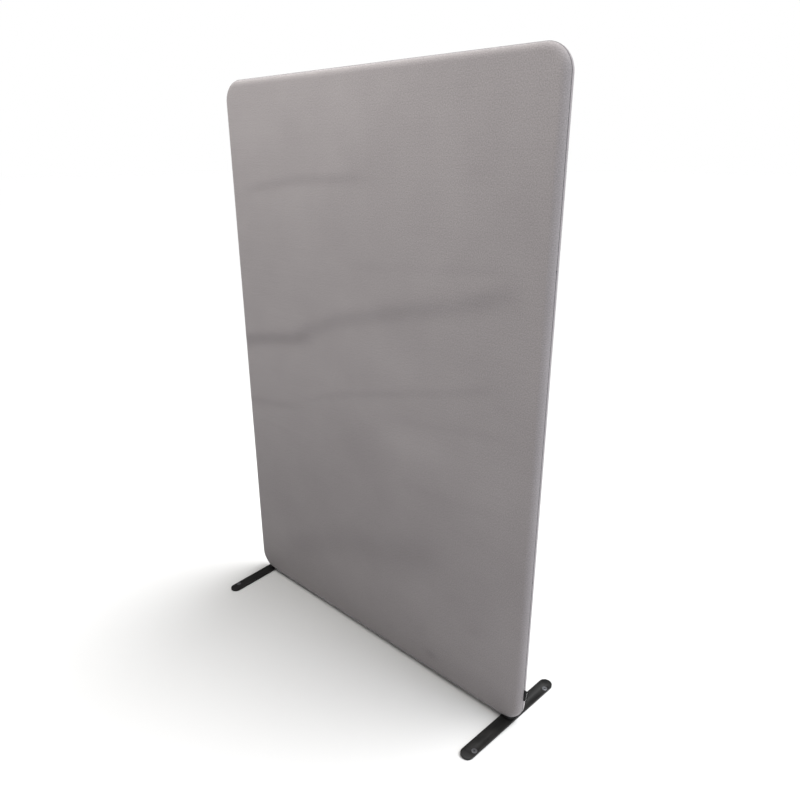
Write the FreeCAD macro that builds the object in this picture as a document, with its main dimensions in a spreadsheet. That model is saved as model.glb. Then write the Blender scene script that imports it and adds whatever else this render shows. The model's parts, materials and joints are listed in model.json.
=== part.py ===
import FreeCAD, Part
import math
import os

import Sketcher
from FreeCAD import Placement, Rotation, Vector

# Free-standing fabric partition wall: a rounded frame of aluminium tube that
# plugs together with snap buttons, a zipped stretch cover pulled over it like a
# pillowcase, and two flat steel feet that swivel on a bolt under the corners.
#
# Frame of reference, millimetres: X along the wall, -Y towards its front face,
# +Z up. The origin is on the floor, under the middle of the wall.

doc = FreeCAD.newDocument("partition_wall")

SIZES = {
    # the whole wall
    "wall_width": (1240, "over the cover"),
    "wall_height": (1800, "floor to the top of the cover"),
    "floor_gap": (10, "floor to the bottom edge of the cover"),
    # frame tube
    "tube_diameter": (38, "outside"),
    "tube_wall": (1.5, "tube and elbows"),
    "bend_radius": (45, "elbow centre-line"),
    "elbow_leg": (60, "straight length at each end of an elbow"),
    # inner sleeves, which join tube to tube
    "sleeve_gap": (0.2, "sleeve to tube, all round"),
    "sleeve_wall": (1.5, "wall of a sleeve"),
    "sleeve_length": (110, "half of it each side of the joint"),
    # snap buttons and their leaf springs
    "button_diameter": (9, "dome"),
    "button_collar": (12, "flange inside the sleeve"),
    "collar_thickness": (1, "flange inside the sleeve"),
    "button_proud": (4, "how far the dome stands out, and its travel"),
    "button_clearance": (0.3, "all round, in tube and sleeve"),
    "button_setback": (30, "joint to button"),
    "spring_width": (8, "leaf"),
    "spring_sheet": (0.5, "leaf"),
    "spring_leg": (38, "straight part of each leaf"),
    # rivets
    "rivet_diameter": (4, "shank"),
    "rivet_head": (8, "head"),
    "rivet_dome": (1.2, "head's height, and the tail's"),
    "rivet_first": (15, "joint to the nearer rivet"),
    "rivet_pitch": (20, "between the two rivets of a sleeve"),
    # stretch cover
    "cover_thickness": (0.8, "knitted cloth"),
    "cover_gap": (0.2, "tube to cloth"),
    "seam_forward": (3.5, "side seam, forward of the middle of the edge"),
    "foot_hole": (17, "hole in the cover for the foot's boss"),
    # zip across the back of the cover
    "zip_margin": (80, "side of the wall to the end of the chain"),
    "zip_rise": (90, "floor to the middle of the chain"),
    "zip_slot": (12, "gap between the cloth edges"),
    "tape_width": (15, "each tape, from the chain's middle"),
    "chain_half": (3, "each half of the chain, from its middle"),
    "chain_thickness": (1.8, "coil"),
    "chain_split": (1.4, "between the halves"),
    "slider_length": (11, "along the zip"),
    "slider_width": (9.4, "across the zip"),
    "slider_plate": (1.2, "each plate"),
    "slider_clearance": (0.3, "slider to chain and tape"),
    "bridge_height": (3.4, "loop that holds the pull"),
    "pull_length": (26, "tab"),
    "pull_width": (7, "tab"),
    "pull_thickness": (1.2, "tab"),
    "pull_pin": (1.6, "through the bridge"),
    "stop_length": (3, "end stops"),
    # side label
    "label_height": (38, "along the seam"),
    "label_reach": (16, "out of the seam"),
    "label_rise": (100, "floor to the label"),
    "label_thickness": (0.8, "folded ribbon"),
    # swivelling feet
    "foot_length": (415, "plate"),
    "foot_width": (40, "plate"),
    "foot_thickness": (6, "plate"),
    "foot_inset": (47, "bolt to the side of the wall"),
    "toe_in": (3.2, "degrees, front ends towards each other"),
    "pad_thickness": (1.5, "under the plate"),
    "pad_diameter": (28, "pads"),
    "pad_reach": (182, "bolt to the end pads"),
    "pad_inner": (60, "bolt to the inner pads"),
    "swivel_gap": (0.1, "plate to saddle"),
    # what fastens a foot
    "bolt_diameter": (8, "thread"),
    "bolt_head": (15, "countersunk head"),
    "bolt_clearance": (0.3, "in the plate and the saddle"),
    "bolt_recess": (0.4, "head below the plate's underside"),
    "bolt_socket": (5, "across the flats"),
    "boss_diameter": (16, "threaded boss in the elbow"),
    "boss_proud": (2, "boss below the elbow's underside"),
    "boss_length": (22, "boss"),
    "saddle_diameter": (30, "spacer between plate and cover"),
    "saddle_wrap": (10, "rim above the cover's underside"),
    "saddle_gap": (0.3, "saddle to cover"),
    # screw at each end of a plate
    "glide_screw": (6, "shank"),
    "glide_head": (17, "countersunk head"),
    "glide_reach": (169, "bolt to screw, along the plate"),
    "glide_offset": (9.8, "off the plate's centre-line, outwards"),
    "glide_length": (5.6, "screw"),
}
sheet = doc.addObject("Spreadsheet::Sheet", "size")
for row, (alias, (value, note)) in enumerate(SIZES.items(), start=1):
    sheet.set(f"A{row}", alias)
    sheet.set(f"B{row}", str(value))
    sheet.setAlias(f"B{row}", alias)
    sheet.set(f"C{row}", note)
doc.recompute()

# Places and sizes that follow from the driving ones, as expressions.
TUBE_R = "(size.tube_diameter / 2)"
BORE_R = "(size.tube_diameter / 2 - size.tube_wall)"
SLEEVE_R = f"({BORE_R} - size.sleeve_gap)"
SLEEVE_BORE_R = f"({SLEEVE_R} - size.sleeve_wall)"
HALF_DEPTH = f"({TUBE_R} + size.cover_gap + size.cover_thickness)"
CORNER_R = f"(size.bend_radius + {HALF_DEPTH})"
POST_X = f"(size.wall_width / 2 - {HALF_DEPTH})"
RAIL_LOW = f"(size.floor_gap + {HALF_DEPTH})"
RAIL_HIGH = f"(size.wall_height - {HALF_DEPTH})"
ELBOW_REACH = "(size.bend_radius + size.elbow_leg)"
RAIL_END = f"({POST_X} - {ELBOW_REACH})"
POST_LOW = f"({RAIL_LOW} + {ELBOW_REACH})"
POST_HIGH = f"({RAIL_HIGH} - {ELBOW_REACH})"
POST_MIDDLE = f"(({POST_LOW} + {POST_HIGH}) / 2)"
POST_LENGTH = f"(({POST_HIGH} - {POST_LOW}) / 2)"
FOOT_X = "(size.wall_width / 2 - size.foot_inset)"
PLATE_TOP = "(size.pad_thickness + size.foot_thickness)"
CORNER_X = f"({POST_X} - size.bend_radius)"
CORNER_Z = f"({RAIL_LOW} + size.bend_radius)"
# The elbow's underside over the bolt, which may be in the bend.
INTO_BEND = f"max({FOOT_X} - {CORNER_X}; 0)"
UNDERSIDE = f"({CORNER_Z} - sqrt((size.bend_radius + {TUBE_R}) ^ 2 - {INTO_BEND} ^ 2))"
BOSS_FOOT = f"({UNDERSIDE} - size.boss_proud)"
SADDLE_TOP = "(size.floor_gap + size.saddle_wrap)"
ZIP_LENGTH = "(size.wall_width - 2 * size.zip_margin)"

# Turns that lay a tube's own +Z along the frame with its own +X facing inwards.
AHEAD = Rotation()
ABOUT_X = Rotation(Vector(1, 0, 0), 180)
ABOUT_Y = Rotation(Vector(0, 1, 0), 180)
ABOUT_Z = Rotation(Vector(0, 0, 1), 180)
RAIL_LOW_RIGHT = Rotation(Vector(1, 0, 1), 180)
RAIL_LOW_LEFT = Rotation(Vector(0, 1, 0), -90)
RAIL_HIGH_RIGHT = Rotation(Vector(0, 1, 0), 90)
RAIL_HIGH_LEFT = Rotation(Vector(1, 0, -1), 180)

# Turns that lay a primitive's own axis along another one.
ALONG_X = Rotation(Vector(0, 1, 0), 90)
ALONG_Y = Rotation(Vector(1, 0, 0), -90)

sub_parts = []


def minus(value):
    return f"(-1 * {value})"


def place(thing, x="0", y="0", z="0", turn=AHEAD):
    """Turns a body, primitive or feature and binds its position."""
    thing.Placement = Placement(Vector(0, 0, 0), turn)
    for axis, value in zip("xyz", (x, y, z)):
        thing.setExpression(f"Placement.Base.{axis}", value)
    return thing


def bind(thing, **values):
    for name, value in values.items():
        thing.setExpression(name, value)
    return thing


def new_body(label, kept=True):
    """A PartDesign body. The kept ones are the wall's sub-parts."""
    body = doc.addObject("PartDesign::Body", label)
    body.Label = label
    if kept:
        sub_parts.append(body)
    return body


def shape_of(kind, label, kept=True, **links):
    """A Part feature, such as a cut or a compound, made from other features."""
    feature = doc.addObject(f"Part::{kind}", label)
    feature.Label = label
    for name, value in links.items():
        setattr(feature, name, value)
    if kept:
        sub_parts.append(feature)
    return feature


def primitive(body, kind, name, x="0", y="0", z="0", turn=AHEAD, **values):
    """Adds or cuts one primitive of a body, with its sizes and place bound."""
    feature = body.newObject(f"PartDesign::{kind}", name)
    bind(feature, **values)
    return place(feature, x, y, z, turn)


def cylinder(body, name, diameter, length, cut=False, **where):
    kind = "SubtractiveCylinder" if cut else "AdditiveCylinder"
    return primitive(body, kind, name, Radius=f"{diameter} / 2", Height=length, **where)


def box(body, name, x_size, y_size, z_size, cut=False, **where):
    kind = "SubtractiveBox" if cut else "AdditiveBox"
    return primitive(body, kind, name, Length=x_size, Width=y_size, Height=z_size, **where)


def sketch_on(body, name, role):
    """An empty sketch on one of the body's own origin planes."""
    sketch = body.newObject("Sketcher::SketchObject", name)
    plane = next(f for f in body.Origin.OriginFeatures if f.Role == role)
    sketch.AttachmentSupport = [(plane, "")]
    sketch.MapMode = "FlatFace"
    return sketch


def constrain(sketch, *constraint, name=None, value=None):
    """Adds a constraint, and binds it to a size if it has one."""
    index = sketch.addConstraint(Sketcher.Constraint(*constraint))
    if name:
        sketch.renameConstraint(index, name)
        sketch.setExpression(f"Constraints.{name}", value)


def ring(sketch, outer, bore):
    """Two circles about the sketch's origin: a tube's section."""
    for name, diameter, guess in (("outer", outer, 38), ("bore", bore, 35)):
        circle = sketch.addGeometry(Part.Circle(Vector(0, 0, 0), Vector(0, 0, 1), guess / 2))
        constrain(sketch, "Coincident", circle, 3, -1, 1)
        constrain(sketch, "Diameter", circle, float(guess), name=name, value=diameter)


def rounded_outline(sketch, width, height, radius, low, guess):
    """A rounded rectangle, centred across, whose lower edge is at the height low."""
    wide, high, round_r, base = guess
    side, top = wide / 2, base + high
    corners = [
        (Vector(side - round_r, base + round_r, 0), -90),
        (Vector(side - round_r, top - round_r, 0), 0),
        (Vector(-side + round_r, top - round_r, 0), 90),
        (Vector(-side + round_r, base + round_r, 0), 180),
    ]
    up = Vector(0, 0, 1)
    arcs = []
    for middle, start in corners:
        circle = Part.Circle(middle, up, round_r)
        arc = Part.ArcOfCircle(circle, math.radians(start), math.radians(start + 90))
        arcs.append(sketch.addGeometry(arc))
    lines = []
    for index, arc in enumerate(arcs):
        start = sketch.getPoint(arc, 2)
        end = sketch.getPoint(arcs[(index + 1) % 4], 1)
        lines.append(sketch.addGeometry(Part.LineSegment(start, end)))
    for index, line in enumerate(lines):
        constrain(sketch, "Tangent", arcs[index], 2, line, 1)
        constrain(sketch, "Tangent", line, 2, arcs[(index + 1) % 4], 1)
        constrain(sketch, "Vertical" if index % 2 == 0 else "Horizontal", line)
        if index:
            constrain(sketch, "Equal", arcs[0], arcs[index])
    right, _, left, bottom = lines
    constrain(sketch, "Radius", arcs[0], round_r, name="corner", value=radius)
    constrain(sketch, "DistanceX", -1, 1, right, 1, side, name="half", value=f"{width} / 2")
    constrain(sketch, "DistanceX", left, 1, -1, 1, side, name="other_half", value=f"{width} / 2")
    constrain(sketch, "DistanceY", -1, 1, bottom, 1, base, name="low", value=low)
    constrain(sketch, "DistanceY", bottom, 1, arcs[1], 2, high, name="tall", value=height)


# ---------------------------------------------------------------- frame tubes


def tube(label, length, buttons, rivets, x, z, turn):
    """A straight tube with its snap-button and rivet holes in the inner side."""
    body = new_body(label)
    section = sketch_on(body, "section", "XY_Plane")
    ring(section, "size.tube_diameter", "size.tube_diameter - 2 * size.tube_wall")
    length_pad = body.newObject("PartDesign::Pad", "wall")
    length_pad.Profile = section
    bind(length_pad, Length=length)
    for height in buttons:
        cylinder(body, "button_hole", "(size.button_diameter + 2 * size.button_clearance)",
                 "size.tube_diameter", cut=True, z=height, turn=ALONG_X)
    for height in rivets:
        cylinder(body, "rivet_hole", "size.rivet_diameter", "size.tube_diameter",
                 cut=True, z=height, turn=ALONG_X)
    return place(body, x, "0", z, turn)


RIVETS = ("size.rivet_first", "(size.rivet_first + size.rivet_pitch)")
RAIL_BUTTONS = ("size.button_setback", f"(2 * {RAIL_END} - size.button_setback)")
tube("bottom_rail", f"2 * {RAIL_END}", RAIL_BUTTONS, (), minus(RAIL_END), RAIL_LOW, RAIL_LOW_RIGHT)
tube("top_rail", f"2 * {RAIL_END}", RAIL_BUTTONS, (), minus(RAIL_END), RAIL_HIGH, RAIL_HIGH_RIGHT)
SIDES = (("left", minus(POST_X), AHEAD), ("right", POST_X, ABOUT_Z))
for side, post_x, turn in SIDES:
    low_buttons = ("size.button_setback", f"({POST_LENGTH} - size.button_setback)")
    high_buttons = (f"({POST_LENGTH} - size.button_setback)",)
    tube(f"post_lower_{side}", POST_LENGTH, low_buttons, (), post_x, POST_LOW, turn)
    tube(f"post_upper_{side}", POST_LENGTH, high_buttons, RIVETS, post_x, POST_MIDDLE, turn)


def elbow(label, x, z, turn, boss):
    """A bent corner tube: up its own Z, then round to its own +X."""
    body = new_body(label)
    section = sketch_on(body, "section", "XY_Plane")
    ring(section, "size.tube_diameter", "size.tube_diameter - 2 * size.tube_wall")
    line = sketch_on(body, "centre_line", "XZ_Plane")
    leg, bend = 60.0, 45.0
    up = line.addGeometry(Part.LineSegment(Vector(0, 0, 0), Vector(0, leg, 0)))
    arc = line.addGeometry(Part.Arc(Vector(0, leg, 0), Vector(bend * 0.2929, leg + bend * 0.7071, 0),
                                    Vector(bend, leg + bend, 0)))
    over = line.addGeometry(Part.LineSegment(Vector(bend, leg + bend, 0), Vector(bend + leg, leg + bend, 0)))
    near, far = (2, 1) if (line.getPoint(arc, 2) - Vector(0, leg, 0)).Length < 1 else (1, 2)
    constrain(line, "Coincident", up, 1, -1, 1)
    constrain(line, "Vertical", up)
    constrain(line, "Tangent", up, 2, arc, near)
    constrain(line, "Tangent", arc, far, over, 1)
    constrain(line, "Horizontal", over)
    constrain(line, "Radius", arc, bend, name="bend", value="size.bend_radius")
    constrain(line, "DistanceY", up, 1, up, 2, leg, name="leg", value="size.elbow_leg")
    constrain(line, "DistanceX", over, 1, over, 2, leg, name="far_leg", value="size.elbow_leg")
    pipe = body.newObject("PartDesign::AdditivePipe", "wall")
    pipe.Profile = section
    pipe.Spine = line
    for distance in RIVETS:
        cylinder(body, "rivet_hole", "size.rivet_diameter", "size.tube_diameter",
                 cut=True, z=distance, turn=ALONG_X)
        cylinder(body, "rivet_hole", "size.rivet_diameter", "size.tube_diameter", cut=True,
                 x=f"({ELBOW_REACH} - {distance})", z=f"({ELBOW_REACH} - size.tube_diameter)")
    if boss:
        # The foot's threaded boss enters through the outer side of the bend.
        across = f"({POST_X} - {FOOT_X})"
        cylinder(body, "boss_hole", "size.boss_diameter", "size.tube_diameter", cut=True,
                 x=across, z=f"({RAIL_LOW} + {ELBOW_REACH} - {BOSS_FOOT} - size.boss_length)")
    return place(body, x, "0", z, turn)


elbow("elbow_bottom_left", minus(POST_X), POST_LOW, ABOUT_X, boss=True)
elbow("elbow_bottom_right", POST_X, POST_LOW, ABOUT_Y, boss=True)
elbow("elbow_top_left", minus(POST_X), POST_HIGH, AHEAD, boss=False)
elbow("elbow_top_right", POST_X, POST_HIGH, ABOUT_Z, boss=False)

# ------------------------------------------------------ joints between the tubes
# Each joint's own frame: +Z into the riveted tube, +X towards the inside of the wall.

JOINTS = {
    "bottom_left_post": (minus(POST_X), POST_LOW, ABOUT_X),
    "bottom_right_post": (POST_X, POST_LOW, ABOUT_Y),
    "top_left_post": (minus(POST_X), POST_HIGH, AHEAD),
    "top_right_post": (POST_X, POST_HIGH, ABOUT_Z),
    "bottom_left_rail": (minus(RAIL_END), RAIL_LOW, RAIL_LOW_LEFT),
    "bottom_right_rail": (RAIL_END, RAIL_LOW, RAIL_LOW_RIGHT),
    "top_left_rail": (minus(RAIL_END), RAIL_HIGH, RAIL_HIGH_LEFT),
    "top_right_rail": (RAIL_END, RAIL_HIGH, RAIL_HIGH_RIGHT),
    "middle_left": (minus(POST_X), POST_MIDDLE, AHEAD),
    "middle_right": (POST_X, POST_MIDDLE, ABOUT_Z),
}
# The collar's flat face stops where its rim meets the sleeve's round bore.
COLLAR_TOP = f"(sqrt({SLEEVE_BORE_R} ^ 2 - (size.button_collar / 2) ^ 2) - 0.2)"
COLLAR = "size.collar_thickness"
DOME_TOP = f"({TUBE_R} + size.button_proud)"
# The leaf's outer faces: under the collar, and where its edges meet the bore opposite.
LEAF_HIGH = f"({COLLAR_TOP} - {COLLAR})"
LEAF_LOW = f"(sqrt({SLEEVE_BORE_R} ^ 2 - (size.spring_width / 2) ^ 2) - 0.1)"


def sleeve(label, x, z, turn):
    """An inner sleeve, riveted into one tube, that the next tube slides over."""
    body = new_body(label)
    section = sketch_on(body, "section", "XY_Plane")
    ring(section, f"2 * {SLEEVE_R}", f"2 * {SLEEVE_BORE_R}")
    length = body.newObject("PartDesign::Pad", "wall")
    length.Profile = section
    length.SideType = "Symmetric"
    bind(length, Length="size.sleeve_length")
    cylinder(body, "button_hole", "(size.button_diameter + 2 * size.button_clearance)",
             "size.tube_diameter", cut=True, z=minus("size.button_setback"), turn=ALONG_X)
    for distance in RIVETS:
        cylinder(body, "rivet_hole", "size.rivet_diameter", "size.tube_diameter",
                 cut=True, z=distance, turn=ALONG_X)
    return place(body, x, "0", z, turn)


def snap_button(label, x, z, turn):
    """A domed button on a collar, pushed out through sleeve and tube by its leaf."""
    body = new_body(label)
    level = minus("size.button_setback")
    cylinder(body, "collar", "size.button_collar", COLLAR,
             x=f"({COLLAR_TOP} - {COLLAR})", z=level, turn=ALONG_X)
    stem = cylinder(body, "stem", "size.button_diameter", f"({DOME_TOP} - {COLLAR_TOP} + {COLLAR})",
                    x=f"({COLLAR_TOP} - {COLLAR})", z=level, turn=ALONG_X)
    doc.recompute()
    far = max(range(len(stem.Shape.Edges)),
              key=lambda i: stem.Shape.Edges[i].BoundBox.XMin)
    dome = body.newObject("PartDesign::Fillet", "dome")
    dome.Base = (stem, [f"Edge{far + 1}"])
    bind(dome, Radius="size.button_diameter / 4")
    return place(body, x, "0", z, turn)


def leaf_spring(label, x, z, turn):
    """A leaf bent double inside the sleeve: one leg under the button, one opposite."""
    body = new_body(label, kept=False)
    rise = f"({LEAF_HIGH} + {LEAF_LOW})"
    middle = f"(({LEAF_HIGH} - {LEAF_LOW}) / 2)"
    tip = "(size.button_setback - size.spring_width)"
    bend = f"(-1 * {tip} - size.spring_leg)"
    near_side = minus("size.spring_width / 2")
    cylinder(body, "bend", rise, "size.spring_width", x=middle, y=near_side, z=bend, turn=ALONG_Y)
    cylinder(body, "bend_inside", f"({rise} - 2 * size.spring_sheet)", "size.spring_width", cut=True,
             x=middle, y=near_side, z=bend, turn=ALONG_Y)
    box(body, "half", rise, "size.spring_width", rise, cut=True,
        x=minus(LEAF_LOW), y=near_side, z=bend)
    for name, level in (("leg_high", f"({LEAF_HIGH} - size.spring_sheet)"), ("leg_low", minus(LEAF_LOW))):
        box(body, name, "size.spring_sheet", "size.spring_width", "size.spring_leg",
            x=level, y=near_side, z=bend)
    return place(body, x, "0", z, turn)


def rivet(label, distance, x, z, turn):
    """A blind rivet through tube and sleeve, domed outside and upset inside."""
    body = new_body(label, kept=False)
    tail = f"(sqrt({SLEEVE_BORE_R} ^ 2 - (size.rivet_head * 0.375) ^ 2) - 0.2)"
    cylinder(body, "tail", "(size.rivet_head * 0.75)", "size.rivet_dome",
             x=f"({tail} - size.rivet_dome)", z=distance, turn=ALONG_X)
    cylinder(body, "shank", "size.rivet_diameter", f"({TUBE_R} - {tail} + size.rivet_dome)",
             x=tail, z=distance, turn=ALONG_X)
    cylinder(body, "head", "size.rivet_head", "size.rivet_dome", x=TUBE_R, z=distance, turn=ALONG_X)
    return place(body, x, "0", z, turn)


springs = []
rivets = []
for joint, (x, z, turn) in JOINTS.items():
    sleeve(f"sleeve_{joint}", x, z, turn)
    snap_button(f"snap_button_{joint}", x, z, turn)
    springs.append(leaf_spring(f"leaf_{joint}", x, z, turn))
    for distance in RIVETS:
        rivets.append(rivet(f"rivet_{len(rivets) + 1}", distance, x, z, turn))
shape_of("Compound", "button_springs", Links=springs)
shape_of("Compound", "sleeve_rivets", Links=rivets)

# ---------------------------------------------------------------------- cover
# Front and back sheets, one cloth thickness thick, with a full-round edge that
# follows the tube. They meet at the side seam and enclose the whole frame.


def pillow(label, shrink):
    """The solid inside a cover surface that lies shrink under its outer face."""
    body = new_body(label, kept=False)
    outline = sketch_on(body, "outline", "XZ_Plane")
    rounded_outline(outline, f"(size.wall_width - 2 * {shrink})",
                    f"(size.wall_height - size.floor_gap - 2 * {shrink})",
                    f"({CORNER_R} - {shrink})", f"(size.floor_gap + {shrink})",
                    guess=(1240, 1790, 65, 10))
    slab = body.newObject("PartDesign::Pad", "slab")
    slab.Profile = outline
    slab.SideType = "Symmetric"
    depth = f"(2 * {HALF_DEPTH} - 2 * {shrink})"
    bind(slab, Length=depth)
    doc.recompute()
    rims = [f"Edge{i + 1}" for i, edge in enumerate(slab.Shape.Edges)
            if edge.BoundBox.YLength < 0.001]
    rounding = body.newObject("PartDesign::Fillet", "rounding")
    rounding.Base = (slab, rims)
    # A hair less than half the depth leaves the rounding a flat to meet on.
    bind(rounding, Radius=f"({depth} / 2 - 0.02)")
    return body


shell = shape_of("Cut", "cover_shell", kept=False, Base=pillow("cover_outside", "0"),
                 Tool=pillow("cover_inside", "size.cover_thickness"))


def solid_box(label, x_size, y_size, z_size, x, y, z):
    block = shape_of("Box", label, kept=False)
    bind(block, Length=x_size, Width=y_size, Height=z_size)
    return place(block, x, y, z)


cuts = []
for side, sign in (("left", -1), ("right", 1)):
    hole = shape_of("Cylinder", f"cover_hole_{side}", kept=False)
    bind(hole, Radius="size.foot_hole / 2", Height=f"size.floor_gap + {HALF_DEPTH}")
    cuts.append(place(hole, f"({sign} * {FOOT_X})", "0", "0"))
holes = shape_of("Compound", "cover_holes", kept=False, Links=cuts)
holed = shape_of("Cut", "cover_holed", kept=False, Base=shell, Tool=holes)
front_half = solid_box("front_half", "2 * size.wall_width", HALF_DEPTH, "2 * size.wall_height",
                       minus("size.wall_width"), f"(-1 * {HALF_DEPTH} - size.seam_forward)",
                       minus("size.wall_height / 2"))
shape_of("Common", "cover_front", Base=holed, Tool=front_half)
whole_back = shape_of("Cut", "whole_back", kept=False, Base=holed, Tool=front_half)
zip_gap = solid_box("zip_gap", ZIP_LENGTH, "size.tube_diameter", "size.zip_slot",
                    f"(-1 * {ZIP_LENGTH} / 2)", "0", "(size.zip_rise - size.zip_slot / 2)")
shape_of("Cut", "cover_back", Base=whole_back, Tool=zip_gap)

# ------------------------------------------------------------------------ zip
# The tapes are sewn inside the back sheet; the chain shows between its edges.

TAPE_FACE = f"({HALF_DEPTH} - size.cover_thickness)"
CHAIN_FACE = f"({TAPE_FACE} + size.chain_thickness)"
TAPE_BACK = f"({TAPE_FACE} - size.cover_thickness)"
for name, up in (("upper", 1), ("lower", 0)):
    tape = new_body(f"zip_tape_{name}")
    box(tape, "tape", f"({ZIP_LENGTH} + 2 * size.stop_length)", "size.cover_thickness",
        "(size.tape_width - size.chain_split / 2)",
        x=f"(-1 * {ZIP_LENGTH} / 2 - size.stop_length)", y=TAPE_BACK,
        z=f"(size.zip_rise + {2 * up - 1} * size.chain_split / 2 - {1 - up} * "
          "(size.tape_width - size.chain_split / 2))")
    chain = new_body(f"zip_chain_{name}")
    box(chain, "coil", f"({ZIP_LENGTH} - 2 * size.stop_length)", "size.chain_thickness",
        "(size.chain_half - size.chain_split / 2)",
        x=f"(-1 * {ZIP_LENGTH} / 2 + size.stop_length)", y=TAPE_FACE,
        z=f"(size.zip_rise + {2 * up - 1} * size.chain_split / 2 - {1 - up} * "
          "(size.chain_half - size.chain_split / 2))")

stops = []
for index, start in enumerate((f"(-1 * {ZIP_LENGTH} / 2)", f"({ZIP_LENGTH} / 2 - size.stop_length)")):
    stop = new_body(f"stop_{index + 1}", kept=False)
    box(stop, "clamp", "size.stop_length", "size.chain_thickness", "(2 * size.chain_half)",
        x=start, y=TAPE_FACE, z="(size.zip_rise - size.chain_half)")
    stops.append(stop)
shape_of("Compound", "zip_stops", Links=stops)

# The slider parks at the right-hand end: a plate each side of the chain, side
# walls that hold the tape in, a wedge between the halves and a bridge on top.
SLIDER_X = (f"({ZIP_LENGTH} / 2 - size.stop_length - size.slider_length - "
            "size.slider_clearance)")
TOP_PLATE = f"({CHAIN_FACE} + size.slider_clearance)"
slider = new_body("zip_slider")
box(slider, "top_plate", "size.slider_length", "size.slider_plate", "size.slider_width",
    x=SLIDER_X, y=TOP_PLATE, z="(size.zip_rise - size.slider_width / 2)")
wedge = "(size.chain_split - 2 * size.slider_clearance)"
LOW_PLATE = f"({TAPE_BACK} - size.slider_clearance - size.slider_plate)"
box(slider, "wedge", "(size.slider_length / 3)", f"({TOP_PLATE} - {LOW_PLATE})", wedge,
    x=f"({SLIDER_X} + size.slider_length * 2 / 3)", y=LOW_PLATE, z=f"(size.zip_rise - {wedge} / 2)")
box(slider, "low_plate", "size.slider_length", "size.slider_plate", "size.slider_width",
    x=SLIDER_X, y=LOW_PLATE, z="(size.zip_rise - size.slider_width / 2)")
SIDE_WALL = "(size.slider_width / 2 - size.chain_half - size.slider_clearance)"
for name, start in (("wall_low", "(size.zip_rise - size.slider_width / 2)"),
                    ("wall_high", "(size.zip_rise + size.chain_half + size.slider_clearance)")):
    box(slider, name, "size.slider_length", f"({TOP_PLATE} - {TAPE_FACE} - size.slider_clearance)",
        SIDE_WALL, x=SLIDER_X, y=f"({TAPE_FACE} + size.slider_clearance)", z=start)
BRIDGE_FOOT = f"({TOP_PLATE} + size.slider_plate)"
BRIDGE_X = f"({SLIDER_X} + size.slider_length / 2)"
PIN_Y = f"({BRIDGE_FOOT} + size.bridge_height / 2)"
BRIDGE_LENGTH = "(size.pull_pin + 2 * size.slider_clearance + 2 * size.slider_plate)"
BRIDGE_WIDTH = "(size.pull_width / 3)"
box(slider, "bridge", BRIDGE_LENGTH, "size.bridge_height", BRIDGE_WIDTH,
    x=f"({BRIDGE_X} - {BRIDGE_LENGTH} / 2)", y=BRIDGE_FOOT, z=f"(size.zip_rise - {BRIDGE_WIDTH} / 2)")
cylinder(slider, "bridge_eye", "(size.pull_pin + 2 * size.slider_clearance)", BRIDGE_WIDTH, cut=True,
         x=BRIDGE_X, y=PIN_Y, z=f"(size.zip_rise - {BRIDGE_WIDTH} / 2)")

# The pull hangs on a pin through the bridge and lies back along the chain.
pull = new_body("zip_pull")
EYE = f"({BRIDGE_WIDTH} + 2 * size.slider_clearance)"
# The fork's root clears the bridge's corners as the pull turns.
REACH = f"(sqrt(({BRIDGE_LENGTH} / 2) ^ 2 + (size.bridge_height / 2) ^ 2) + size.slider_clearance)"
box(pull, "tab", "size.pull_length", "size.pull_thickness", "size.pull_width",
    x=f"({BRIDGE_X} - size.pull_length)", y=f"({PIN_Y} - size.pull_thickness / 2)",
    z="(size.zip_rise - size.pull_width / 2)")
cylinder(pull, "eye", "(2 * size.pull_pin)", "size.pull_width", x=BRIDGE_X, y=PIN_Y,
         z="(size.zip_rise - size.pull_width / 2)")
box(pull, "fork", f"(2 * {REACH})", "size.bridge_height", EYE, cut=True, x=f"({BRIDGE_X} - {REACH})",
    y=f"({PIN_Y} - size.bridge_height / 2)", z=f"(size.zip_rise - {EYE} / 2)")
cylinder(pull, "pin", "size.pull_pin", "size.pull_width", x=BRIDGE_X, y=PIN_Y,
         z="(size.zip_rise - size.pull_width / 2)")

# A folded ribbon label, caught in the right-hand seam.
label = new_body("side_label")
SEAM_X = f"({POST_X} + sqrt({HALF_DEPTH} ^ 2 - (size.seam_forward - size.label_thickness / 2) ^ 2))"
box(label, "ribbon", "size.label_reach", "size.label_thickness", "size.label_height",
    x=SEAM_X, y="(-1 * size.seam_forward - size.label_thickness / 2)", z="size.label_rise")

# ----------------------------------------------------------------------- feet


def stadium(sketch, length, width):
    """A slot outline centred on the origin, its long way along the sketch's Y."""
    long, wide = 415.0, 40.0
    straight, radius = (long - wide) / 2, wide / 2
    right = sketch.addGeometry(Part.LineSegment(Vector(radius, -straight, 0), Vector(radius, straight, 0)))
    far = sketch.addGeometry(Part.ArcOfCircle(Part.Circle(Vector(0, straight, 0), Vector(0, 0, 1), radius),
                                              0, math.pi))
    left = sketch.addGeometry(Part.LineSegment(Vector(-radius, straight, 0), Vector(-radius, -straight, 0)))
    near = sketch.addGeometry(Part.ArcOfCircle(Part.Circle(Vector(0, -straight, 0), Vector(0, 0, 1), radius),
                                               math.pi, 2 * math.pi))
    for first, second in ((right, far), (far, left), (left, near), (near, right)):
        constrain(sketch, "Tangent", first, 2, second, 1)
    constrain(sketch, "Vertical", right)
    constrain(sketch, "Symmetric", far, 3, near, 3, -1, 1)
    constrain(sketch, "Radius", far, radius, name="end", value=f"{width} / 2")
    constrain(sketch, "DistanceY", right, 1, right, 2, 2 * straight, name="straight",
              value=f"{length} - {width}")


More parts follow.
